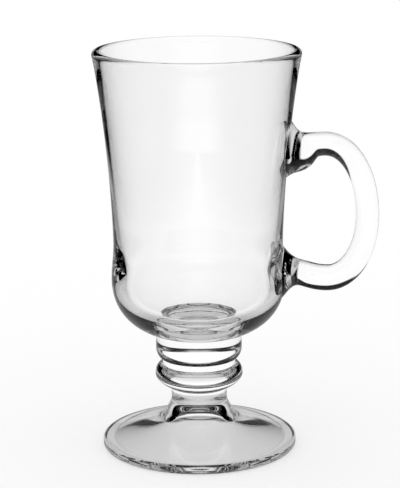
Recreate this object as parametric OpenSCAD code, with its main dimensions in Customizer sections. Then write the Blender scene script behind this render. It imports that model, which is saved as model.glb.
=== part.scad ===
// Clear glass mug on a short stem, for hot drinks with cream on top.
// A pressed bowl stands on two rounded knops, a waisted stem and a hollow foot, and a
// solid glass rod, bent like the letter D, is welded to the side of the bowl.
// The table is at z = 0, the mug's axis is the Z axis and the handle points along +X.

/* [Foot] */
// Outer radius of the foot
foot_r = 36.4; // [30:0.1:45]
// Height of the foot where the stem stands on it
foot_h = 10.4; // [8:0.1:14]
// Radius of the rounding where the foot's side turns under
foot_under_round = 1.5; // [0.8:0.1:2]
// Height of the foot's side above that rounding
foot_side_h = 0.9; // [0.5:0.1:2]
// Radius of the rounding between the foot's side and its sloping top
foot_top_round = 1.2; // [0.6:0.1:2]
// Width of the flat ring that the mug stands on
foot_ring_w = 3.4; // [2:0.1:5]
// Height of the hollow's crown above the foot, inside the stem
hollow_crown_h = 4.6; // [2:0.1:6]
// Sag of the foot's sloping top below a straight line
foot_top_sag = 0.5; // [0:0.1:1.5]

/* [Stem] */
// Height of the stem
stem_h = 12.1; // [9:0.1:18]
// Radius where the stem spreads onto the foot
stem_foot_r = 14.8; // [13:0.1:17]
// Radius of the stem at its waist
stem_waist_r = 10.4; // [8:0.1:11.5]
// Radius at the top of the stem
stem_top_r = 10.6; // [9:0.1:12]
// Height of the waist above the foot
stem_waist_h = 8.2; // [6:0.1:8.8]
// Thickness of the stem's glass round the hollow, measured from its waist
stem_wall_w = 1.8; // [1.2:0.1:3]

/* [Knops] */
// Largest radius of the lower knop
lower_knop_r = 16.4; // [15:0.1:20]
// Height of the lower knop, from the stem to the groove
lower_knop_h = 9.3; // [8:0.1:12]
// Height of the lower knop's widest ring above the stem
lower_knop_belly_h = 5.3; // [4.5:0.1:6.5]
// Radius of the groove between the two knops
groove_r = 13.7; // [12.5:0.1:15]
// Height of the straight band in the groove
groove_h = 2.2; // [0.8:0.1:3]
// Largest radius of the upper knop
upper_knop_r = 16.1; // [15.8:0.1:20]
// Height of the upper knop, from the groove's band to the bowl
upper_knop_h = 9.9; // [8:0.1:13]
// Height of the upper knop's widest ring above the groove's band
upper_knop_belly_h = 4.3; // [3.5:0.1:6]
// Radius of the crease where the bowl meets the upper knop
crease_r = 15.7; // [14:0.1:15.9]

/* [Bowl] */
// Height of the bowl, from the crease to the top of the lip
bowl_h = 106.1; // [95:0.1:120]
// Largest radius of the lip
lip_r = 38.1; // [35:0.1:42]
// Width of the rounded lip
lip_w = 3.2; // [2.4:0.1:4]
// How far the lip stands out from the wall under it
lip_bead = 0.6; // [0.2:0.1:1.2]
// Height of the bead under the lip
lip_bead_h = 3.8; // [2.5:0.1:6]
// Radius of the wall at its waist
waist_r = 31.4; // [30:0.1:33.5]
// Height of the waist above the crease
waist_h = 34.6; // [28:0.1:42]
// How far the belly stands out from the waist
belly_out = 0.9; // [0.3:0.1:2]
// Height of the belly above the crease
belly_h = 20.7; // [17:0.1:24]
// Rise of the bowl's underside beside the crease, in degrees
underside_rise = 12; // [5:1:20]
// Thickness of the glass between the crease and the cavity's floor
floor_t = 5.5; // [4:0.1:9]
// Thickness of the wall where the cavity turns into the floor
turn_wall_w = 4.3; // [3.5:0.1:7]
// Height of that turn above the crease
cavity_turn_h = 20.6; // [18:0.1:24]

/* [Handle] */
// Height of the upper weld above the crease
top_weld_h = 68.5; // [62:0.1:76]
// Height of the top of the handle's rod line above the crease
crest_h = 70.8; // [66:0.1:80]
// Distance of that top from the waist radius
crest_out = 15.4; // [13:0.1:18]
// Height of the farthest point of the rod line above the crease
far_h = 44.1; // [38:0.1:52]
// Distance of the farthest point from the waist radius
far_out = 31.2; // [26:0.1:36]
// Height of the lowest point of the rod line above the crease
trough_h = 20.5; // [17:0.1:24]
// Distance of that lowest point from the waist radius
trough_out = 16.6; // [14:0.1:19]
// Height of the lower weld above the crease
low_weld_h = 23.2; // [21:0.1:28]
// Thickness of the rod, seen from the side
rod_w = 8.5; // [7:0.1:10]
// Extra thickness of the rod along its lower run
rod_low_extra = 0.8; // [0:0.1:1.5]
// Depth of the rod, seen from the front
rod_d = 10.6; // [8:0.1:13]

/* [Hidden] */

// Steps on each curve of an outline, and on a small rounding
curve_steps = 14;
round_steps = 8;
$fn = 96;

glass = [0.86, 0.93, 0.93, 0.45];

// Heights of the joints above the table
stem_z = foot_h;
lower_knop_z = stem_z + stem_h;
upper_knop_z = lower_knop_z + lower_knop_h;
crease_z = upper_knop_z + groove_h + upper_knop_h;
lip_z = crease_z + bowl_h;

// Points on a cubic curve from a to d, drawn towards b and c on its way
function cubic(a, b, c, d, t) =
    pow(1 - t, 3) * a + 3 * pow(1 - t, 2) * t * b + 3 * (1 - t) * t * t * c + pow(t, 3) * d;
function curve(a, b, c, d, steps = curve_steps) = [for (i = [0:steps]) cubic(a, b, c, d, i / steps)];

// Points on an arc of an ellipse round a centre, from one angle to another
function arc(centre, across, up, from, to, steps = round_steps) =
    [for (i = [0:steps]) let (angle = from + (to - from) * i / steps)
        centre + [across * cos(angle), up * sin(angle)]];

// Turns an outline of [radius, height] points round the mug's axis
module turned(outline) {
    color(glass) rotate_extrude() polygon(outline);
}

// Foot: a flat ring on the table, a rounded side and a sloping top. The hollow under it is
// a bell that reaches up into the stem, and hollow_edge is where it leaves the foot.
foot_ring_out_r = foot_r - foot_under_round;
foot_ring_in_r = foot_ring_out_r - foot_ring_w;
foot_side_top = foot_under_round + foot_side_h;
foot_slope = atan((foot_h - foot_side_top - foot_top_round) / (foot_r - stem_foot_r));
foot_round_centre = [foot_r - foot_top_round, foot_side_top];
foot_shoulder = foot_round_centre + foot_top_round * [sin(foot_slope), cos(foot_slope)];
foot_top_edge = [stem_foot_r, foot_h];
hollow_edge = [stem_waist_r - stem_wall_w, foot_h];
hollow_lean_degrees = 32;
hollow_aim = [sin(hollow_lean_degrees), -cos(hollow_lean_degrees)];
hollow_turn_share = 0.54;
hollow_out_share = 0.54;
hollow_rise_share = 0.42;
top_third_share = 1 / 3;

// The top's last step, before it meets the stem, and the direction it has there
foot_top_third = (foot_top_edge - foot_shoulder) * top_third_share;
foot_top_last = foot_top_third + [0, foot_top_sag];
onto_foot = foot_top_last / norm(foot_top_last);

module foot() {
    hollow = curve(
        hollow_edge,
        hollow_edge + hollow_aim * foot_h * hollow_turn_share,
        [foot_ring_in_r * hollow_out_share, foot_h * hollow_rise_share],
        [foot_ring_in_r, 0]);
    side = concat(
        arc([foot_ring_out_r, foot_under_round], foot_under_round, foot_under_round, -90, 0),
        arc(foot_round_centre, foot_top_round, foot_top_round, 0, 90 - foot_slope));
    top = curve(
        foot_shoulder,
        foot_shoulder + foot_top_third - [0, foot_top_sag],
        foot_top_edge - foot_top_last,
        foot_top_edge);
    turned(concat(hollow, side, top));
}

// Stem: it spreads onto the foot in one smooth flare, opens a little above its waist, and
// has the hollow's crown in its base
stem_waist_z = stem_z + stem_waist_h;
flare_out_share = 0.364;
flare_up_share = 0.476;
flare_soft_share = 0.2;
flare_lean_degrees = 24;
flare_aim = [-sin(flare_lean_degrees), cos(flare_lean_degrees)];
crown_flat_share = 0.6;
crown_side_share = 0.65;

module stem() {
    soft = stem_waist_h * flare_soft_share;
    middle = [
        stem_waist_r + (stem_foot_r - stem_waist_r) * flare_out_share,
        stem_z + stem_waist_h * flare_up_share];
    crown = curve(
        [0, stem_z + hollow_crown_h],
        [hollow_edge[0] * crown_flat_share, stem_z + hollow_crown_h],
        hollow_edge - hollow_aim * hollow_crown_h * crown_side_share,
        hollow_edge);
    spread = curve(foot_top_edge, foot_top_edge + onto_foot * soft, middle - flare_aim * soft, middle);
    below = curve(
        middle,
        middle + flare_aim * soft,
        [stem_waist_r, stem_waist_z - soft],
        [stem_waist_r, stem_waist_z]);
    above_h = lower_knop_z - stem_waist_z;
    above = arc([stem_top_r, stem_waist_z], stem_waist_r - stem_top_r, above_h, 0, 90);
    turned(concat(crown, spread, below, above, [[0, lower_knop_z]]));
}

// Lower knop: a flattened bead that stands on the stem and ends at the groove
knop_flare_share = 0.2;
knop_under_share = 0.5;

module lower_knop() {
    belly_z = lower_knop_z + lower_knop_belly_h;
    top_z = upper_knop_z;
    overhang = lower_knop_r - stem_top_r;
    under = curve(
        [stem_top_r, lower_knop_z],
        [stem_top_r, lower_knop_z] + knop_flare_share * [overhang, lower_knop_belly_h / 2],
        [lower_knop_r, belly_z - lower_knop_belly_h * knop_under_share],
        [lower_knop_r, belly_z]);
    over = arc([groove_r, belly_z], lower_knop_r - groove_r, top_z - belly_z, 0, 90);
    turned(concat([[0, lower_knop_z]], under, over, [[0, top_z]]));
}

// Upper knop: a straight band in the groove, then a taller bead up to the crease
knop_neck_share = 0.5;

module upper_knop() {
    band_top_z = upper_knop_z + groove_h;
    belly_z = band_top_z + upper_knop_belly_h;
    over_h = crease_z - belly_z;
    under = arc([groove_r, belly_z], upper_knop_r - groove_r, upper_knop_belly_h, -90, 0);
    over = curve(
        [upper_knop_r, belly_z],
        [upper_knop_r, belly_z + over_h * knop_neck_share],
        [crease_r + (upper_knop_r - crease_r) * knop_neck_share, crease_z - over_h * knop_neck_share / 2],
        [crease_r, crease_z]);
    turned(concat([[0, upper_knop_z], [groove_r, upper_knop_z]], under, over, [[0, crease_z]]));
}

// Bowl: the outside rises from the crease round the belly and the waist to the lip
belly_r = waist_r + belly_out;
belly_z = crease_z + belly_h;
waist_z = crease_z + waist_h;
wall_top_z = lip_z - lip_bead_h;
wall_top_r = lip_r - lip_bead;
wall_lean_degrees = 9.5;
wall_aim = [sin(wall_lean_degrees), cos(wall_lean_degrees)];
corner_flat_share = 0.12;
corner_tall_share = 0.8;
belly_soft_share = 0.35;
waist_soft_share = 0.09;
wall_soft_share = 0.45;

outside = concat(
    curve(
        [crease_r, crease_z],
        [crease_r, crease_z]
            + (belly_r - crease_r) * corner_flat_share * [cos(underside_rise), sin(underside_rise)],
        [belly_r, belly_z - belly_h * corner_tall_share],
        [belly_r, belly_z]),
    curve(
        [belly_r, belly_z],
        [belly_r, belly_z + (waist_h - belly_h) * belly_soft_share],
        [waist_r, waist_z - (waist_h - belly_h) * belly_soft_share],
        [waist_r, waist_z]),
    curve(
        [waist_r, waist_z],
        [waist_r, waist_z + (wall_top_z - waist_z) * waist_soft_share],
        [wall_top_r, wall_top_z] - (wall_top_z - waist_z) * wall_soft_share * wall_aim,
        [wall_top_r, wall_top_z],
        2 * curve_steps));

// The lip is half a round bar on top of the wall, and the cavity tapers from it
lip_half = lip_w / 2;
lip_centre = [lip_r - lip_half, lip_z - lip_half];
cavity_turn_z = crease_z + cavity_turn_h;
cavity_floor_z = crease_z + floor_t;
mouth_r = lip_r - lip_w;
cavity_r = belly_r - turn_wall_w;
cavity_taper = (mouth_r - cavity_r) / (lip_centre[1] - cavity_turn_z);
floor_flat_share = 0.8;
floor_corner_share = 0.65;

module bowl() {
    lip = concat(
        curve(
            [wall_top_r, wall_top_z],
            [wall_top_r, wall_top_z] + lip_bead * wall_aim,
            [lip_r, lip_centre[1] - lip_bead],
            [lip_r, lip_centre[1]],
            round_steps),
        arc(lip_centre, lip_half, lip_half, 0, 180, 2 * round_steps));
    corner_drop = (cavity_turn_z - cavity_floor_z) * floor_corner_share;
    inside = curve(
        [cavity_r, cavity_turn_z],
        [cavity_r - cavity_taper * corner_drop, cavity_turn_z - corner_drop],
        [cavity_r * floor_flat_share, cavity_floor_z],
        [0, cavity_floor_z]);
    turned(concat([[0, crease_z]], outside, lip, inside));
}

// The wall's outer radius at a height, and the depth of its surface beside the middle
wall_table = [for (p = outside) [p[1], p[0]]];
function wall_r(z) = lookup(z, wall_table);
function wall_x(y, z) = sqrt(pow(wall_r(z), 2) - y * y);

// Handle: a rod whose line runs from weld to weld through four curves. Its half width
// grows into a flare at each weld, by its own amount above, below and at the sides.
top_weld_z = crease_z + top_weld_h;
low_weld_z = crease_z + low_weld_h;
crest = [waist_r + crest_out, crease_z + crest_h];
far = [waist_r + far_out, crease_z + far_h];
trough = [waist_r + trough_out, crease_z + trough_h];
top_weld = [wall_r(top_weld_z), top_weld_z];
low_weld = [wall_r(low_weld_z), low_weld_z];
bend_share = 0.57;
weld_lead_share = 0.45;
crest_lead_share = 0.42;

rod_line = [
    [top_weld, top_weld + [(crest - top_weld)[0] * weld_lead_share, 0],
        crest - [(crest - top_weld)[0] * crest_lead_share, 0], crest],
    [crest, crest + [(far - crest)[0] * bend_share, 0], far + [0, (crest - far)[1] * bend_share], far],
    [far, far - [0, (far - trough)[1] * bend_share], trough + [(far - trough)[0] * bend_share, 0], trough],
    [trough, trough - [(trough - low_weld)[0] * crest_lead_share, 0],
        low_weld + [(trough - low_weld)[0] * weld_lead_share, 0], low_weld]];

// Flares: how much each adds to the half width at the wall, and how far out it reaches
top_flare = 6.7;
top_flare_out = 12;
under_flare = 4.2;
under_flare_out = 10.5;
under_fillet = 1.6;
under_fillet_out = 3;
low_flare = 5;
low_flare_out = 7;
side_flare = 5;
side_flare_out = 10;

rod_sides = 28;
rod_rings = 21;
cap_rings = 3;

// The rod's outer side is a little squarer than its round inner side
outer_power = 0.6;
function squared_off(value, power) = sign(value) * pow(abs(value), power);

// A flare's fall from the wall out to its reach, soft or steep
soft_power = 2;
steep_power = 3;
function fade(out, reach, power) = pow(max(0, 1 - out / reach), power);
function rod_point(part, t) = let (c = rod_line[part]) cubic(c[0], c[1], c[2], c[3], t);
function rod_slope(part, t) = let (c = rod_line[part])
    3 * (pow(1 - t, 2) * (c[1] - c[0]) + 2 * (1 - t) * t * (c[2] - c[1]) + t * t * (c[3] - c[2]));

// Half widths of the rod at a distance from the wall: outer side, inner side and depth
function rod_half(part, along) =
    rod_w / 2 + rod_low_extra / 2 * (part < 2 ? 0 : part > 2 ? 1 : along * along);
function outer_half(part, out) =
    part == 0 ? top_flare * fade(out, top_flare_out, soft_power)
        : part == 3 ? low_flare * fade(out, low_flare_out, steep_power) : 0;
function inner_half(part, out) =
    part == 0 ? under_flare * (1 + cos(180 * pow(min(1, out / under_flare_out), soft_power))) / 2
            + under_fillet * fade(out, under_fillet_out, soft_power)
        : part == 3 ? low_flare * fade(out, low_flare_out, steep_power) : 0;
function side_half(part, out) =
    part == 0 || part == 3 ? side_flare * fade(out, side_flare_out, steep_power) : 0;

// One ring of the rod. Near a weld the ring bends until it lies on the wall.
function ring(part, t, shrink = 1) = let (
        centre = rod_point(part, t),
        slope = rod_slope(part, t),
        ahead = slope / norm(slope),
        outwards = [-ahead[1], ahead[0]],
        out = centre[0] - wall_r(centre[1]),
        at_weld = part == 0 || part == 3,
        bend = at_weld ? fade(out, top_flare_out, soft_power) : 0,
        half = rod_half(part, t),
        outer = half + outer_half(part, out),
        inner = half + inner_half(part, out),
        depth = rod_d / 2 + side_half(part, out))
    [for (i = [0:rod_sides - 1]) let (
            angle = 360 * i / rod_sides,
            is_outer = cos(angle) > 0,
            power = is_outer ? outer_power : 1,
            across = shrink * squared_off(cos(angle), power) * (is_outer ? outer : inner),
            y = shrink * squared_off(sin(angle), power) * depth,
            flat = centre + outwards * across,
            z = flat[1],
            x = flat[0] + (at_weld ? bend * (wall_x(y, z) + out - flat[0]) : 0))
        [x, y, z]];

// Ring positions crowd towards the welds
crowding_power = 1.6;
function crowded(i) = pow(i / rod_rings, crowding_power);
rod_rings_list = concat(
    [for (k = [1:cap_rings - 1]) ring(0, 0, k / cap_rings)],
    [for (i = [0:rod_rings - 1]) ring(0, crowded(i))],
    [for (i = [0:rod_rings - 1]) ring(1, i / rod_rings)],
    [for (i = [0:rod_rings - 1]) ring(2, i / rod_rings)],
    [for (i = [0:rod_rings]) ring(3, 1 - crowded(rod_rings - i))],
    [for (k = [1:cap_rings - 1]) ring(3, 1, (cap_rings - k) / cap_rings)]);

module handle() {
    count = len(rod_rings_list);
    points = concat(
        [for (r = rod_rings_list) each r],
        [[top_weld[0], 0, top_weld[1]], [low_weld[0], 0, low_weld[1]]]);
    start = count * rod_sides;
    side_faces = [for (r = [0:count - 2]) for (i = [0:rod_sides - 1]) let (
            a = r * rod_sides + i,
            b = r * rod_sides + (i + 1) % rod_sides)
        each [[a, b, a + rod_sides], [b, b + rod_sides, a + rod_sides]]];
    first_cap = [for (i = [0:rod_sides - 1]) [start, (i + 1) % rod_sides, i]];
    last_ring = (count - 1) * rod_sides;
    last_cap = [for (i = [0:rod_sides - 1]) [start + 1, last_ring + i, last_ring + (i + 1) % rod_sides]];
    color(glass) polyhedron(points, concat(side_faces, first_cap, last_cap));
}

foot();
stem();
lower_knop();
upper_knop();
bowl();
handle();
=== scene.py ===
# %% [markdown]
# # A clear glass mug for hot drinks with cream on top
# To the hand the mug is one piece of glass. It is made of turned shapes that stand on one
# axis (foot, stem, two knops and bowl) and of a bent rod that is welded hot to the bowl.
# The imported model comes in first, as a fixed frame. Every piece below is made in metres in
# that frame and takes the place of the imported piece with the same name.

# %% Load the frame
import math

import bmesh
import bpy
import numpy as np
from mathutils import Matrix


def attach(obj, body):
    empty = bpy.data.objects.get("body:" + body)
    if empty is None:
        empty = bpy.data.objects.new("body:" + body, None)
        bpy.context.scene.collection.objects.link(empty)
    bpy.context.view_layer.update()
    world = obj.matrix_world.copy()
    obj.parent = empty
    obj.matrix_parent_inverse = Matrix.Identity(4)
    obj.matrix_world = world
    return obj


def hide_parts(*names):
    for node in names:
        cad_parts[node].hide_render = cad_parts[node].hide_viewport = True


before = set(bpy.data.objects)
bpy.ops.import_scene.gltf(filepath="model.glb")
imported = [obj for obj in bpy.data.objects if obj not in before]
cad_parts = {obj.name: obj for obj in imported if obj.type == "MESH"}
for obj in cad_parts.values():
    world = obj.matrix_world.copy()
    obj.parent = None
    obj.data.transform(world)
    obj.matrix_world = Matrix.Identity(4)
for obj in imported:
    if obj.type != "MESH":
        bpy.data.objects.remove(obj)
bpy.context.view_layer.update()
print("packed pieces:", ", ".join(sorted(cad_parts)))

# %% [markdown]
# ## The camera
# Glass shows what lies behind it, so the camera comes first: a centimetre of camera height
# moves every line in the glass. This one stands as the photographer's did, in front of the
# mug and a little above it, with a long lens. Its place was found from the outlines of the
# rim, the knops and the foot.

# %% Set the camera
photo_tall = 488
focal_pixels = 1894
look_down = math.radians(13.693)
roll = math.radians(-0.43)
camera_place = (0.000688, -0.6824, 0.2436)
lens = bpy.data.cameras.new("camera")
lens.lens = lens.sensor_width * focal_pixels / photo_tall
camera = bpy.data.objects.new("camera", lens)
bpy.context.scene.collection.objects.link(camera)
camera.matrix_world = (Matrix.Translation(camera_place)
                       @ Matrix.Rotation(math.pi / 2 - look_down, 4, "X")
                       @ Matrix.Rotation(roll, 4, "Z"))
bpy.context.scene.camera = camera
print(f"lens {lens.lens:.1f} mm, looking down {math.degrees(look_down):.1f} degrees")

# %% [markdown]
# ## Outlines
# A turned piece is fully told by its outline: half of a slice through it, drawn from the
# axis at its bottom to the axis at its top. The outlines are curves and arcs between a few
# sizes in millimetres. They are drawn finely here, because glass bends light by the slope
# of its surface, and a coarse outline would show as bands.

# %% Tools for drawing an outline
mm = 0.001
fine = 40


def along(t, a, b, c, d):
    """Where a curve from a to d, drawn towards b and c, is after a share t of its way."""
    return (1 - t) ** 3 * a + 3 * (1 - t) ** 2 * t * b + 3 * (1 - t) * t * t * c + t ** 3 * d


def curve(a, b, c, d, steps=fine):
    """Points on a curve from a to d, drawn towards b and c on its way."""
    t = np.linspace(0, 1, steps + 1)[:, None]
    return along(t, *(np.array(p, float) for p in (a, b, c, d)))


def arc(centre, across, up, start, end, steps=16):
    """Points on an arc of an ellipse round a centre, from one angle to another."""
    angle = np.radians(np.linspace(start, end, steps + 1))[:, None]
    return np.array(centre) + np.hstack([across * np.cos(angle), up * np.sin(angle)])


def chain(*parts):
    """The parts of an outline, one after the other, each shared point kept once."""
    points = np.vstack([np.atleast_2d(np.array(p, float)) for p in parts])
    moved = np.linalg.norm(np.diff(points, axis=0), axis=1) > 1e-6
    return points[np.concatenate([[True], moved])]


def towards(angle, length):
    """A step of some length, leaning from straight up by an angle in degrees."""
    return length * np.array([math.sin(math.radians(angle)), math.cos(math.radians(angle))])


# %% Heights of the joints
foot_h, stem_h, lower_knop_h, groove_h, upper_knop_h, bowl_h = 10.4, 12.1, 9.3, 2.2, 9.9, 106.1
stem_z = foot_h
lower_knop_z = stem_z + stem_h
upper_knop_z = lower_knop_z + lower_knop_h
crease_z = upper_knop_z + groove_h + upper_knop_h
lip_z = crease_z + bowl_h
joints = (stem_z, lower_knop_z, upper_knop_z, crease_z)
print("joints at", [round(z, 1) for z in joints], "mm, rim at", round(lip_z, 1), "mm")

# %% [markdown]
# ### Foot and stem
# The foot is pressed over a bell-shaped plunger, so the hollow under it narrows as it climbs
# and ends in a small dome inside the base of the stem. The foot stands on a flat ring near
# its edge. Its side turns into a gently sagging top, and the stem spreads out onto that top.

# %% Outline of the foot
foot_r, under_round, side_h, top_round, ring_w = 36.4, 1.5, 0.9, 1.2, 3.4
crown_h, hollow_r, hollow_lean, top_sag = 4.6, 8.6, 32, 0.5
hollow_steep, hollow_wide, hollow_low = 0.54, 0.54, 0.42
stem_foot_r, stem_waist_r, stem_top_r, stem_waist_h = 14.8, 10.4, 10.6, 8.2

ring_out = foot_r - under_round
ring_in = ring_out - ring_w
round_centre = np.array([foot_r - top_round, under_round + side_h])
slope = math.degrees(math.atan((foot_h - side_h - under_round - top_round)
                               / (foot_r - stem_foot_r)))
shoulder = round_centre + towards(slope, top_round)
top_edge = np.array([stem_foot_r, foot_h])
third, sag = (top_edge - shoulder) / 3, np.array([0, top_sag])
hollow_edge = np.array([hollow_r, foot_h])
foot_outline = chain(
    curve(hollow_edge, hollow_edge - towards(-hollow_lean, foot_h * hollow_steep),
          [ring_in * hollow_wide, foot_h * hollow_low], [ring_in, 0]),
    arc([ring_out, under_round], under_round, under_round, -90, 0),
    arc(round_centre, top_round, top_round, 0, 90 - slope),
    curve(shoulder, shoulder + third - sag, top_edge - third - sag, top_edge),
    hollow_edge)

# %% Outline of the stem
flare_lean, flare_soft, flare_in, flare_up = 24, stem_waist_h * 0.2, 0.364, 0.476
dome_flat, dome_steep = 0.6, 0.65
waist_z = stem_z + stem_waist_h
flare = np.array([stem_waist_r + (stem_foot_r - stem_waist_r) * flare_in,
                  stem_z + stem_waist_h * flare_up])
onto_foot = (third + sag) / np.linalg.norm(third + sag)
stem_outline = chain(
    curve([0, foot_h + crown_h], [hollow_r * dome_flat, foot_h + crown_h],
          hollow_edge + towards(-hollow_lean, crown_h * dome_steep), hollow_edge),
    curve(top_edge, top_edge + onto_foot * flare_soft,
          flare - towards(-flare_lean, flare_soft), flare),
    curve(flare, flare + towards(-flare_lean, flare_soft), [stem_waist_r, waist_z - flare_soft],
          [stem_waist_r, waist_z]),
    arc([stem_top_r, waist_z], stem_waist_r - stem_top_r, lower_knop_z - waist_z, 0, 90),
    [0, lower_knop_z])
print(f"foot {2 * foot_r:.1f} mm across, stem {2 * stem_waist_r:.1f} mm at its waist")

# %% [markdown]
# ### Knops
# Two soft beads, pressed with the stem. The upper one is taller and has a straight band
# under it, where the groove between them is. The bowl grows out of its top in a sharp crease.

# %% Outlines of the two knops
lower_r, lower_belly_h, groove_r = 16.4, 5.3, 13.7
upper_r, upper_belly_h, crease_r = 16.1, 4.3, 15.7

belly_z = lower_knop_z + lower_belly_h
overhang = lower_r - stem_top_r
lower_outline = chain(
    [0, lower_knop_z],
    curve([stem_top_r, lower_knop_z],
          [stem_top_r + overhang * 0.2, lower_knop_z + lower_belly_h * 0.1],
          [lower_r, belly_z - lower_belly_h * 0.5], [lower_r, belly_z]),
    arc([groove_r, belly_z], lower_r - groove_r, upper_knop_z - belly_z, 0, 90),
    [0, upper_knop_z])

band_z = upper_knop_z + groove_h
belly_z = band_z + upper_belly_h
over_h = crease_z - belly_z
upper_outline = chain(
    [0, upper_knop_z],
    curve([groove_r, upper_knop_z], [groove_r, upper_knop_z + groove_h / 3],
          [groove_r, band_z - groove_h / 3], [groove_r, band_z], 4),
    arc([groove_r, belly_z], upper_r - groove_r, upper_belly_h, -90, 0),
    curve([upper_r, belly_z], [upper_r, belly_z + over_h * 0.5],
          [crease_r + (upper_r - crease_r) * 0.5, crease_z - over_h * 0.25], [crease_r, crease_z]),
    [0, crease_z])
print(f"knops {2 * lower_r:.1f} and {2 * upper_r:.1f} mm across")

# %% [markdown]
# ### Bowl
# The outside swells into a belly, draws in to a waist and flares out to the lip, which is
# half a round bar. The cavity is smoother than the outside: a straight taper down to the
# level of the belly, then a deep round bottom. So the wall is thick at the belly and
# thin at the waist, and the bottom is a lens of solid glass.

# %% Outside of the bowl
lip_r, lip_w, lip_bead, bead_h = 38.1, 3.2, 0.6, 5.0
waist_r, waist_up, belly_r, belly_up = 31.4, 34.6, 32.3, 20.7
floor_t, cavity_r, turn_up = 5.5, 28.0, 20.6
wall_lean, corner_rise = 9.5, math.radians(12)

wall_top = np.array([lip_r - lip_bead, lip_z - bead_h])
belly_z, waist_z = crease_z + belly_up, crease_z + waist_up
soft = (waist_up - belly_up) * 0.35
corner = (belly_r - crease_r) * 0.12 * np.array([math.cos(corner_rise), math.sin(corner_rise)])
outside = chain(
    curve([crease_r, crease_z], [crease_r, crease_z] + corner, [belly_r, belly_z - belly_up * 0.8],
          [belly_r, belly_z], 2 * fine),
    curve([belly_r, belly_z], [belly_r, belly_z + soft],
          [waist_r, waist_z - soft], [waist_r, waist_z]),
    curve([waist_r, waist_z], [waist_r, waist_z + (wall_top[1] - waist_z) * 0.09],
          wall_top - towards(wall_lean, (wall_top[1] - waist_z) * 0.45), wall_top, 2 * fine))

# %% Lip and cavity of the bowl
lip_half = lip_w / 2
lip_centre = np.array([lip_r - lip_half, lip_z - lip_half])
turn_z, floor_z, mouth_r = crease_z + turn_up, crease_z + floor_t, lip_r - lip_w
taper = (mouth_r - cavity_r) / (lip_centre[1] - turn_z)
drop = (turn_z - floor_z) * 0.65
wall_inside = np.linspace([mouth_r, lip_centre[1]], [cavity_r, turn_z], fine)
bowl_outline = chain(
    [0, crease_z],
    outside,
    curve(wall_top, wall_top + towards(wall_lean, lip_bead), [lip_r, lip_centre[1] - lip_bead],
          [lip_r, lip_centre[1]], 10),
    arc(lip_centre, lip_half, lip_half, 0, 180, 28),
    wall_inside,
    curve([cavity_r, turn_z], [cavity_r - taper * drop, turn_z - drop],
          [cavity_r * 0.8, floor_z], [0, floor_z], 2 * fine))

rise_up = bowl_outline[bowl_outline[:, 1].argmax():][::-1]
inner = rise_up[np.argsort(rise_up[:, 1])]
mean_r = (inner[1:, 0] + inner[:-1, 0]) / 2
millilitres = np.sum(math.pi * mean_r ** 2 * np.diff(inner[:, 1])) * mm
print(f"rim {2 * lip_r:.1f} mm across, the cavity holds {millilitres:.0f} ml to the brim")

# %% [markdown]
# ## Materials
# Clear glass is a shader that bends light: no colour, no roughness and the index of pressed
# soda glass. Pressed glass is never quite flat, so two layers of soft noise tilt its surface
# by a hair, and the lines seen through it waver as they do in the real mug. Lamps and
# the sky shine straight through it to the floor, or its shadow would be black.
# Where two pieces are welded there is no surface at all, so those faces get a material that
# lets every ray pass.

# %% A helper for nodes
def node(tree, kind, inputs=(), **settings):
    """One node of a tree, with its settings, and its inputs given as values or fed by sockets."""
    made = tree.nodes.new(kind)
    for name, value in settings.items():
        setattr(made, name, value)
    for name, value in dict(inputs).items():
        if isinstance(value, bpy.types.NodeSocket):
            tree.links.new(value, made.inputs[name])
        else:
            made.inputs[name].default_value = value
    return made


def calc(tree, operation, a, b=0.0):
    """One sum, in either kind of tree."""
    return node(tree, "ShaderNodeMath", {0: a, 1: b}, operation=operation).outputs[0]


# %% Clear glass and the weld
def new_material(name):
    """A material with an empty tree."""
    material = bpy.data.materials.new(name)
    material.use_nodes = True
    material.node_tree.nodes.clear()
    return material


broad_scale, small_scale, small_share, waver_depth = 45.0, 190.0, 0.08, 0.00006
clear_glass = new_material("clear pressed glass")
tree = clear_glass.node_tree
place = node(tree, "ShaderNodeTexCoord").outputs["Object"]
broad = node(tree, "ShaderNodeTexNoise", {
    "Vector": place, "Scale": broad_scale, "Detail": 1.0, "Roughness": 0.4})
small = node(tree, "ShaderNodeTexNoise", {"Vector": place, "Scale": small_scale, "Detail": 0.0})
swell = calc(tree, "ADD", broad.outputs[0], calc(tree, "MULTIPLY", small.outputs[0], small_share))
waver = node(tree, "ShaderNodeBump", {"Height": swell, "Strength": 1.0, "Distance": waver_depth})
bends = node(tree, "ShaderNodeBsdfPrincipled", {
    "Base Color": (1, 1, 1, 1), "Roughness": 0.0, "IOR": 1.52, "Transmission Weight": 1.0,
    "Normal": waver.outputs[0]})
through = node(tree, "ShaderNodeBsdfTransparent", {"Color": (0.9, 0.9, 0.9, 1)})
for_lamps = node(tree, "ShaderNodeMixShader", {
    0: node(tree, "ShaderNodeLightPath").outputs["Is Shadow Ray"],
    1: bends.outputs[0], 2: through.outputs[0]})
node(tree, "ShaderNodeOutputMaterial", {"Surface": for_lamps.outputs[0]})

weld = new_material("weld inside the glass")
tree = weld.node_tree
clear = node(tree, "ShaderNodeBsdfTransparent")
node(tree, "ShaderNodeOutputMaterial", {"Surface": clear.outputs[0]})
print("materials:", clear_glass.name, "and", weld.name)

# %% [markdown]
# ## Turning the outlines
# A Geometry Nodes tree does what the glassmaker's mould does: it turns an outline round the
# axis. It makes a grid with a column for each step round and a row for each point of the
# outline, looks up the outline's point by row, and puts it at the column's angle. Merging
# by distance closes the seam and the poles. The outline's points at the height of a joint
# are marked as welded, and a face with marks all round it gets the weld material.

# %% What both trees need
line_inputs = {"Line": "Geometry", "Steps round": "Int", "Sharp angle": "Float",
               "Glass": "Material", "Weld": "Material"}


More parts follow.
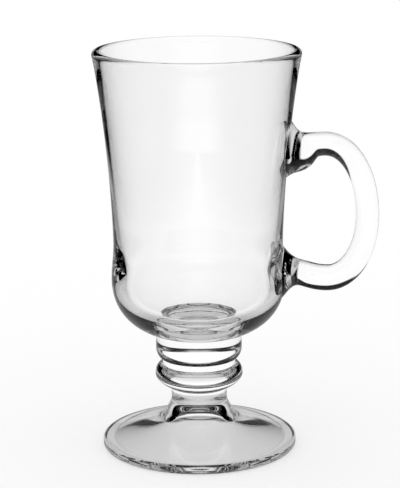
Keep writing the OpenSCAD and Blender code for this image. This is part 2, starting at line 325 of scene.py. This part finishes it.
def new_tree(name, sockets):
    """An empty tree with named inputs and one mesh output."""
    tree = bpy.data.node_groups.new(name, "GeometryNodeTree")
    for title, kind in sockets.items():
        tree.interface.new_socket(title, in_out="INPUT", socket_type="NodeSocket" + kind)
    tree.interface.new_socket("Mesh", in_out="OUTPUT", socket_type="NodeSocketGeometry")
    return tree, node(tree, "NodeGroupInput").outputs


def look_up(tree, source, value, row, kind="FLOAT"):
    """A value of one of the source's points, by its number."""
    sample = node(tree, "GeometryNodeSampleIndex", {"Geometry": source, "Index": row},
                  data_type=kind)
    tree.links.new(value, sample.inputs["Value"])
    return sample.outputs["Value"]


def rows_and_columns(tree, source, steps):
    """A grid with a row for each point of the source, and each vertex's row and column."""
    size = node(tree, "GeometryNodeAttributeDomainSize", {"Geometry": source})
    rows = size.outputs["Point Count"]
    grid = node(tree, "GeometryNodeMeshGrid", {
        "Vertices X": calc(tree, "ADD", steps, 1.0), "Vertices Y": rows})
    index = node(tree, "GeometryNodeInputIndex").outputs[0]
    row = calc(tree, "MODULO", index, rows)
    column = calc(tree, "FLOOR", calc(tree, "DIVIDE", index, rows))
    return grid.outputs["Mesh"], row, column


# %% How both trees end
touching, marked_all_round = 1e-6, 0.75


def finish_tree(tree, mesh, row, given):
    """Close the seam, shade smooth but for sharp edges, and give each face its material."""
    welds = node(tree, "GeometryNodeInputNamedAttribute", {"Name": "weld"}, data_type="FLOAT")
    keep = node(tree, "GeometryNodeCaptureAttribute", {"Geometry": mesh})
    keep.capture_items.new("FLOAT", "weld")
    marks = look_up(tree, given["Line"], welds.outputs["Attribute"], row)
    tree.links.new(marks, keep.inputs["weld"])
    closed = node(tree, "GeometryNodeMergeByDistance", {
        "Geometry": keep.outputs["Geometry"], "Distance": touching})
    smooth = node(tree, "GeometryNodeSetShadeSmooth", {
        "Geometry": closed.outputs["Geometry"], "Shade Smooth": True})
    bend = node(tree, "GeometryNodeInputMeshEdgeAngle").outputs["Unsigned Angle"]
    sharp = node(tree, "GeometryNodeSetShadeSmooth", {
        "Geometry": smooth.outputs["Geometry"], "Shade Smooth": False,
        "Selection": calc(tree, "GREATER_THAN", bend, given["Sharp angle"])}, domain="EDGE")
    real = node(tree, "GeometryNodeRealizeInstances", {"Geometry": sharp.outputs["Geometry"]})
    glassy = node(tree, "GeometryNodeSetMaterial", {
        "Geometry": real.outputs["Geometry"], "Material": given["Glass"]})
    welded = node(tree, "GeometryNodeSetMaterial", {
        "Geometry": glassy.outputs["Geometry"], "Material": given["Weld"],
        "Selection": calc(tree, "GREATER_THAN", keep.outputs["weld"], marked_all_round)})
    node(tree, "NodeGroupOutput", {"Mesh": welded.outputs["Geometry"]})


# %% The tree that turns an outline
turning, given = new_tree("turn an outline", line_inputs)
grid, row, column = rows_and_columns(turning, given["Line"], given["Steps round"])
position = node(turning, "GeometryNodeInputPosition").outputs[0]
point = look_up(turning, given["Line"], position, row, "FLOAT_VECTOR")
point = node(turning, "ShaderNodeSeparateXYZ", {0: point}).outputs
full_turns = calc(turning, "MULTIPLY", column, 2 * math.pi)
angle = calc(turning, "DIVIDE", full_turns, given["Steps round"])
turned = node(turning, "ShaderNodeCombineXYZ", {
    "X": calc(turning, "MULTIPLY", point["X"], calc(turning, "COSINE", angle)),
    "Y": calc(turning, "MULTIPLY", point["X"], calc(turning, "SINE", angle)),
    "Z": point["Z"]})
placed = node(turning, "GeometryNodeSetPosition", {"Geometry": grid, "Position": turned.outputs[0]})
finish_tree(turning, placed.outputs["Geometry"], row, given)
print("tree", turning.name, "has", len(turning.nodes), "nodes")

# %% Run a tree and look at the result
def run_tree(name, tree, points, inputs, values=()):
    """Run a tree on a chain of points and keep its result as a plain mesh."""
    mesh = bpy.data.meshes.new(name)
    mesh.from_pydata(points, [(i, i + 1) for i in range(len(points) - 1)], [])
    for title, (kind, numbers) in dict(values).items():
        layer = mesh.attributes.new(title, kind, "POINT")
        layer.data.foreach_set("vector" if kind == "FLOAT_VECTOR" else "value", np.ravel(numbers))
    piece = bpy.data.objects.new(name, mesh)
    bpy.context.scene.collection.objects.link(piece)
    modifier = piece.modifiers.new("make", "NODES")
    modifier.node_group = tree
    for title, value in inputs.items():
        modifier[tree.interface.items_tree[title].identifier] = value
    return keep_result(piece)


def keep_result(piece):
    """Turn what the modifiers make into the piece's own mesh, and remove them."""
    view = bpy.context.evaluated_depsgraph_get()
    piece.data = bpy.data.meshes.new_from_object(piece.evaluated_get(view))
    piece.modifiers.clear()
    return piece


def report(piece):
    """Print a piece's triangles, its volume, and any edge that isn't closed."""
    shape = bmesh.new()
    shape.from_mesh(piece.data)
    loose = sum(not edge.is_manifold for edge in shape.edges)
    triangles = sum(len(face.verts) - 2 for face in shape.faces)
    millilitres = shape.calc_volume(signed=True) / mm ** 2
    print(f"{piece.name}: {triangles} triangles, {millilitres:.2f} ml of glass, {loose} open edges")
    shape.free()


# %% Turn the five pieces
steps_round, sharp_angle = 256, math.radians(28)
shared = {"Steps round": steps_round, "Sharp angle": sharp_angle,
          "Glass": clear_glass, "Weld": weld}
turned_pieces = {}
for name, outline in (("foot", foot_outline), ("stem", stem_outline), ("lower_knop", lower_outline),
                      ("upper_knop", upper_outline), ("bowl", bowl_outline)):
    points = [(r * mm, 0, z * mm) for r, z in outline]
    marks = {"weld": ("FLOAT", np.isin(outline[:, 1].round(6), np.round(joints, 6)))}
    turned_pieces[name] = run_tree("glass_" + name, turning, points, shared, marks)
    report(turned_pieces[name])
bowl = turned_pieces["bowl"]

# %% [markdown]
# ## The handle
# The handle is a glass rod, bent while hot. Its line runs from weld to weld through four
# curves. Across the line the rod is a rounded shape with its own half width on the outer
# side, on the inner side and in depth, and each of them grows near a weld into the flare
# that the hot glass makes. The outer side is a little squarer than the inner one. A second
# tree skins a chain of points that carry these sizes. Heights along the rod are told from
# the crease and widths from the bowl's waist. Each flare has a size and a reach, which is
# how far from the wall it has faded.

# %% The rod's line and its sizes
top_weld_up, crest_up, crest_out, far_up, far_out = 68.5, 70.8, 15.4, 44.1, 31.2
trough_up, trough_out, low_weld_up = 20.5, 16.6, 23.2
rod_w, low_extra, rod_d = 8.5, 0.8, 10.6
outer_power, seat_depth = 0.6, 0.5
end_pull, crest_pull, round_pull = 0.45, 0.42, 0.57

order = np.argsort(outside[:, 1])


def wall(z):
    """The outer radius of the bowl's wall at a height."""
    return np.interp(z, outside[order, 1], outside[order, 0])


crest, far, trough = (np.array([waist_r + out, crease_z + up]) for out, up in (
    (crest_out, crest_up), (far_out, far_up), (trough_out, trough_up)))
top_weld, low_weld = (np.array([wall(crease_z + up), crease_z + up])
                      for up in (top_weld_up, low_weld_up))
across, upward = np.array([1.0, 0.0]), np.array([0.0, 1.0])
rod_line = [
    (top_weld, top_weld + across * (crest - top_weld)[0] * end_pull,
     crest - across * (crest - top_weld)[0] * crest_pull, crest),
    (crest, crest + across * (far - crest)[0] * round_pull,
     far + upward * (crest - far)[1] * round_pull, far),
    (far, far - upward * (far - trough)[1] * round_pull,
     trough + across * (far - trough)[0] * round_pull, trough),
    (trough, trough - across * (trough - low_weld)[0] * crest_pull,
     low_weld + across * (trough - low_weld)[0] * end_pull, low_weld)]
print(f"welds of the rod at {top_weld[1]:.1f} and {low_weld[1]:.1f} mm")

# %% One point of the rod, with its flares
top_flare, top_reach, under_flare, under_reach, edge_flare, edge_reach = 6.7, 12, 4.2, 10.5, 1.6, 3
low_flare, low_reach, side_flare, side_reach, bend_reach = 5, 7, 5, 10, 12


def fade(out, reach, power):
    """A flare's share of its full size, from 1 at the wall to 0 at its reach."""
    return max(0.0, 1 - out / reach) ** power


def rod_point(part, t, shrink=1.0, sink=0.0, weld=0.0):
    """One point of the chain: its place, its outward direction and its half widths."""
    a, b, c, d = rod_line[part]
    centre = along(t, a, b, c, d)
    ahead = (1 - t) ** 2 * (b - a) + 2 * (1 - t) * t * (c - b) + t * t * (d - c)
    ahead = ahead / np.linalg.norm(ahead)
    out = centre[0] - wall(centre[1])
    half = rod_w / 2 + low_extra / 2 * (0, 0, t * t, 1)[part]
    outer, inner, depth, bend = half, half, rod_d / 2, 0.0
    if part == 0:
        outer += top_flare * fade(out, top_reach, 2)
        wave = (1 + math.cos(math.pi * min(1, out / under_reach) ** 2)) / 2
        inner += under_flare * wave + edge_flare * fade(out, edge_reach, 2)
    if part == 3:
        outer, inner = (half + low_flare * fade(out, low_reach, 3),) * 2
    if part in (0, 3):
        depth, bend = depth + side_flare * fade(out, side_reach, 3), fade(out, bend_reach, 2)
    return {"place": (centre[0], 0, centre[1]), "outwards": (-ahead[1], 0, ahead[0]),
            "outer": outer * shrink, "inner": inner * shrink, "deep": depth * shrink,
            "bend": bend, "gap": out - sink, "weld": weld}


# %% The chain of points, weld to weld
rings, cap_rings, crowding = 60, 8, 1.6
crowd = (np.arange(rings + 1) / rings) ** crowding
even = np.arange(rings) / rings
seat = [{"shrink": k / cap_rings, "sink": seat_depth, "weld": 1.0} for k in range(cap_rings + 1)]
seat.append({"weld": 1.0})
chain_points = ([rod_point(0, 0, **at) for at in seat]
                + [rod_point(0, t) for t in crowd[1:-1]]
                + [rod_point(1, t) for t in even]
                + [rod_point(2, t) for t in even]
                + [rod_point(3, t) for t in 1 - crowd[:0:-1]]
                + [rod_point(3, 1, **at) for at in seat[::-1]])
print("rod line:", len(chain_points), "points, weld to weld")

# %% [markdown]
# The tree places each vertex of the grid from its row's centre, along the outward direction
# by the outer or the inner half width, and along Y by the depth. It keeps on every vertex
# how strongly that ring bends onto the wall, so that the flares can be seated there later.

# %% The tree that skins the rod
skinning, given = new_tree("skin a rod", line_inputs)
grid, row, column = rows_and_columns(skinning, given["Line"], given["Steps round"])


def named(title, kind="FLOAT"):
    """A named value of the line's point for this row."""
    value = node(skinning, "GeometryNodeInputNamedAttribute", {"Name": title}, data_type=kind)
    return look_up(skinning, given["Line"], value.outputs["Attribute"], row, kind)


position = node(skinning, "GeometryNodeInputPosition").outputs[0]
centre = look_up(skinning, given["Line"], position, row, "FLOAT_VECTOR")
full_turns = calc(skinning, "MULTIPLY", column, -2 * math.pi)
angle = calc(skinning, "DIVIDE", full_turns, given["Steps round"])
is_outer = calc(skinning, "GREATER_THAN", calc(skinning, "COSINE", angle), 0.0)
half = node(skinning, "ShaderNodeMix", {
    0: is_outer, 2: named("inner"), 3: named("outer")}).outputs[0]
power = node(skinning, "ShaderNodeMix", {0: is_outer, 2: 1.0, 3: outer_power}).outputs[0]


def squared_off(operation):
    """The sine or cosine of the angle, raised to the side's power and given its sign again."""
    plain = calc(skinning, operation, angle)
    size = calc(skinning, "POWER", calc(skinning, "ABSOLUTE", plain), power)
    return calc(skinning, "MULTIPLY", calc(skinning, "SIGN", plain), size)


# %% Where each vertex of the rod goes
sideways = node(skinning, "ShaderNodeVectorMath", {
    0: named("outwards", "FLOAT_VECTOR"),
    "Scale": calc(skinning, "MULTIPLY", squared_off("COSINE"), half)}, operation="SCALE")
deep = node(skinning, "ShaderNodeCombineXYZ", {
    "Y": calc(skinning, "MULTIPLY", squared_off("SINE"), named("deep"))})
ring = node(skinning, "ShaderNodeVectorMath", {
    0: sideways.outputs[0], 1: deep.outputs[0]}, operation="ADD")
vertex = node(skinning, "ShaderNodeVectorMath", {0: centre, 1: ring.outputs[0]}, operation="ADD")
skin = node(skinning, "GeometryNodeSetPosition", {
    "Geometry": grid, "Position": vertex.outputs[0]}).outputs["Geometry"]
for title in ("bend", "gap"):
    skin = node(skinning, "GeometryNodeStoreNamedAttribute", {
        "Geometry": skin, "Name": title, "Value": named(title)}, domain="POINT").outputs["Geometry"]
finish_tree(skinning, skin, row, given)
print("tree", skinning.name, "has", len(skinning.nodes), "nodes")

# %% [markdown]
# A flat cut can't meet a round, leaning wall, so the rings near a weld are bent until the
# last one lies on it. The closing rings go half a millimetre further in. The same shape is
# then cut out of the bowl, so the two pieces meet in a shallow seat, and both sides of the
# seat take the weld material. Light then passes from the rod into the wall as in one glass.

# %% Make the handle
rod_steps, rod_sharp_angle = 72, math.radians(40)


def column_of(key):
    """One value of every point of the chain."""
    return np.array([p[key] for p in chain_points])


handle = run_tree(
    "glass_handle", skinning, column_of("place") * mm,
    {**shared, "Steps round": rod_steps, "Sharp angle": rod_sharp_angle},
    {"outwards": ("FLOAT_VECTOR", column_of("outwards")),
     **{key: ("FLOAT", column_of(key) * mm) for key in ("outer", "inner", "deep", "gap")},
     "bend": ("FLOAT", column_of("bend")), "weld": ("FLOAT", column_of("weld"))})

# %% Bend the last rings onto the wall
shape = handle.data
where = np.empty(len(shape.vertices) * 3)
shape.vertices.foreach_get("co", where)
where = where.reshape(-1, 3)
bend, gap = (np.empty(len(where)) for _ in range(2))
shape.attributes["bend"].data.foreach_get("value", bend)
shape.attributes["gap"].data.foreach_get("value", gap)
on_wall = np.sqrt((wall(where[:, 2] / mm) * mm) ** 2 - where[:, 1] ** 2)
where[:, 0] += bend * (on_wall + gap - where[:, 0])
shape.vertices.foreach_set("co", where.ravel())
for title in ("bend", "gap"):
    shape.attributes.remove(shape.attributes[title])
shape.update()
report(handle)

# %% Cut the seat into the wall
seat = bowl.modifiers.new("seat", "BOOLEAN")
seat.operation, seat.solver = "DIFFERENCE", "EXACT"
seat.object, seat.material_mode = handle, "TRANSFER"
keep_result(bowl)
bowl.data.set_sharp_from_angle(angle=sharp_angle)
report(bowl)

# %% [markdown]
# ## Floor and light
# Glass has no colour of its own, so the light makes the picture. The mug stands on a white
# table in front of a white wall. The camera sees both as white. So do the rays that glass
# bends, but above the wall's edge they see the dark room, and that draws the black lines
# along the rim, the knops and the rod. High overhead is a pale ceiling. A ray that was
# mirrored inside the glass sees all of it dimmer, and one mirrored off its outside dimmer
# still. Both see nothing of the room's sides, as if dark cards stood there, which edges the
# walls with thin lines. Mirrorings are counted in whole numbers, so less than a half is none.
# Close to the mug the table, as glass sees it, has painted shade, darkest in a painted shadow
# right under the edge of the foot. Its paint is grey with some light of its own for the camera,
# so the mug's soft shadow shows.

# %% What glass sees of the room
straight_share, inside_share, outside_share = 1.05, 0.75, 0.5
not_once = 0.5


def glass_share(tree, sideways, edges):
    """Whether glass bent or mirrored a ray, and the share of the room's light that it sees."""
    path = node(tree, "ShaderNodeLightPath").outputs
    bent = calc(tree, "MAXIMUM", path["Is Glossy Ray"], path["Is Transmission Ray"])
    unmirrored = calc(tree, "LESS_THAN", path["Glossy Depth"], not_once)
    off_outside = calc(tree, "MULTIPLY", path["Is Glossy Ray"],
                       calc(tree, "LESS_THAN", path["Transmission Depth"], not_once))
    share = node(tree, "ShaderNodeMix", {
        0: unmirrored, 2: inside_share, 3: straight_share}).outputs[0]
    share = node(tree, "ShaderNodeMix", {0: off_outside, 2: share, 3: outside_share}).outputs[0]
    middle = node(tree, "ShaderNodeMapRange", {
        "Value": calc(tree, "ABSOLUTE", sideways), "From Min": edges[0], "From Max": edges[1],
        "To Min": 1.0, "To Max": 0.0}, interpolation_type="SMOOTHSTEP").outputs[0]
    return bent, calc(tree, "MULTIPLY", share, calc(tree, "MAXIMUM", middle, unmirrored))


print("shares of the room's light:", straight_share, inside_share, outside_share)

# %% Paint of the table
# Painted shade: the table as glass sees it is painted darker close to the mug
table_middle, painted_shade_span, painted_shade_share = (0.05, 0.3), (0.03, 0.08), 0.69
# Painted shadow: a dark ring painted on the table right under the edge of the foot, seen by glass
painted_shadow_ring, painted_ring_darkness = (0.0345, 0.0375), 0.9
table_grey, camera_lift = 0.6, 0.4
floor_paint = new_material("white table")
tree = floor_paint.node_tree
where = node(tree, "ShaderNodeSeparateXYZ", {
    0: node(tree, "ShaderNodeTexCoord").outputs["Object"]}).outputs
bent, share = glass_share(tree, where["X"], table_middle)
reach = calc(tree, "SQRT", calc(tree, "ADD", calc(tree, "MULTIPLY", where["X"], where["X"]),
                                calc(tree, "MULTIPLY", where["Y"], where["Y"])))
# painted shade on the table for bent rays, darkest next to the mug and fading further out
near = node(tree, "ShaderNodeMapRange", {
    "Value": reach, "From Min": painted_shade_span[0], "From Max": painted_shade_span[1],
    "To Min": painted_shade_share, "To Max": 1.0}, interpolation_type="SMOOTHSTEP").outputs[0]
# painted shadow: the ring under the foot's edge where the table is painted darker
painted_shadow_under_foot = calc(tree, "MULTIPLY", calc(tree, "GREATER_THAN", reach, painted_shadow_ring[0]),
                  calc(tree, "LESS_THAN", reach, painted_shadow_ring[1]))
left_after_painted_shadow = calc(tree, "SUBTRACT", 1.0, calc(tree, "MULTIPLY", painted_shadow_under_foot, painted_ring_darkness))
near = calc(tree, "MULTIPLY", near, left_after_painted_shadow)
seen = node(tree, "ShaderNodeMix", {
    0: bent, 2: 1.0, 3: calc(tree, "MULTIPLY", near, share)}).outputs[0]
paint = node(tree, "ShaderNodeBsdfDiffuse", {"Color": (table_grey, table_grey, table_grey, 1)})
to_camera = node(tree, "ShaderNodeLightPath").outputs["Is Camera Ray"]
lift = node(tree, "ShaderNodeEmission", {
    "Strength": calc(tree, "MULTIPLY", to_camera, camera_lift)})
lit = node(tree, "ShaderNodeAddShader", {0: paint.outputs[0], 1: lift.outputs[0]})
plain = node(tree, "ShaderNodeEmission", {"Strength": seen})
both = node(tree, "ShaderNodeMixShader", {0: bent, 1: lit.outputs[0], 2: plain.outputs[0]})
node(tree, "ShaderNodeOutputMaterial", {"Surface": both.outputs[0]})

# %% The table
table_r, table_corners = 6.0, 96
around = np.linspace(0, 2 * math.pi, table_corners + 1)[:-1]
floor_mesh = bpy.data.meshes.new("table")
floor_mesh.from_pydata([(table_r * math.cos(a), table_r * math.sin(a), 0) for a in around],
                       [], [range(table_corners)])
floor_mesh.materials.append(floor_paint)
floor = bpy.data.objects.new("table", floor_mesh)
bpy.context.scene.collection.objects.link(floor)
print("table", 2 * table_r, "m across")

# %% The room round the table
world = bpy.data.worlds.new("studio")
bpy.context.scene.world = world
world.use_nodes = True
tree = world.node_tree
tree.nodes.clear()
room = ((0, 1.0), (5, 1.0), (8, 0.0), (60, 0.0), (70, 0.8), (90, 0.8))
room_middle = (0.2, 0.7)
towards_room = node(tree, "ShaderNodeSeparateXYZ", {
    0: node(tree, "ShaderNodeTexCoord").outputs["Generated"]}).outputs
ramp = node(tree, "ShaderNodeValToRGB", {
    0: calc(tree, "DIVIDE", calc(tree, "ARCSINE", towards_room["Z"]), math.pi / 2)})
while len(ramp.color_ramp.elements) > 1:
    ramp.color_ramp.elements.remove(ramp.color_ramp.elements[0])
for number, (height, grey) in enumerate(room):
    stop = ramp.color_ramp.elements.new(height / 90) if number else ramp.color_ramp.elements[0]
    stop.position = height / 90
    stop.color = (grey, grey, grey, 1)
bent, share = glass_share(tree, towards_room["X"], room_middle)
shown = node(tree, "ShaderNodeMix", {
    0: bent, 2: 1.0, 3: calc(tree, "MULTIPLY", ramp.outputs[0], share)}).outputs[0]
sky = node(tree, "ShaderNodeBackground", {"Color": (1, 1, 1, 1), "Strength": shown})
node(tree, "ShaderNodeOutputWorld", {"Surface": sky.outputs[0]})
print("room by height:", room)

# %% How the scene is rendered
scene = bpy.context.scene
scene.view_settings.view_transform = "Standard"
scene.cycles.max_bounces = 32
scene.cycles.transmission_bounces = 32
scene.cycles.glossy_bounces = 16
scene.cycles.transparent_max_bounces = 32
print("light is followed for", scene.cycles.max_bounces, "bounces")

# %% [markdown]
# ## Into the frame
# Each piece rides on the mug's one body and replaces its imported node.

# %% Hand the pieces over
for node_name, piece in {**turned_pieces, "handle": handle}.items():
    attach(piece, "root")
    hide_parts(node_name)
